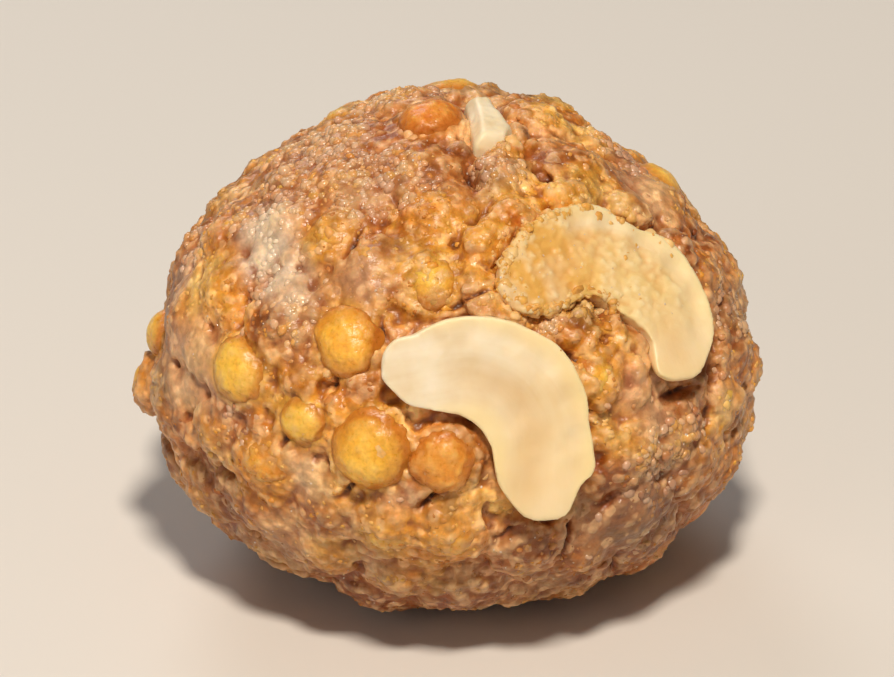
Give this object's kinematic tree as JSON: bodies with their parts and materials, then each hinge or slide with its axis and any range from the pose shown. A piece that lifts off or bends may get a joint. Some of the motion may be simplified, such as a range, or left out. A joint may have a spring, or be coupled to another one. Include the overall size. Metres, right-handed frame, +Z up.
{
  "type": "boondi ladoo",
  "caption": "Hand-rolled ghee boondi ladoo: a pressed ball of gram-flour pearls and paste with split cashew kernels set in it, resting on a small flat spot.",
  "frame": {"origin": "on the flat spot it rests on, under the middle of the ball", "axes": "+Z up, -Y towards the side with the whole front cashew half"},
  "size_m": [0.0566, 0.0539, 0.0444],
  "materials": {
    "boondi_paste": "moist golden-brown pressed boondi with ghee sheen",
    "cashew": "smooth ivory, waxy"
  },
  "bodies": {
    "root": {"boondi_ball": "boondi_paste", "cashew_front": "cashew", "cashew_side": "cashew", "cashew_back": "cashew", "cashew_chip": "cashew"}
  },
  "joints": []
}
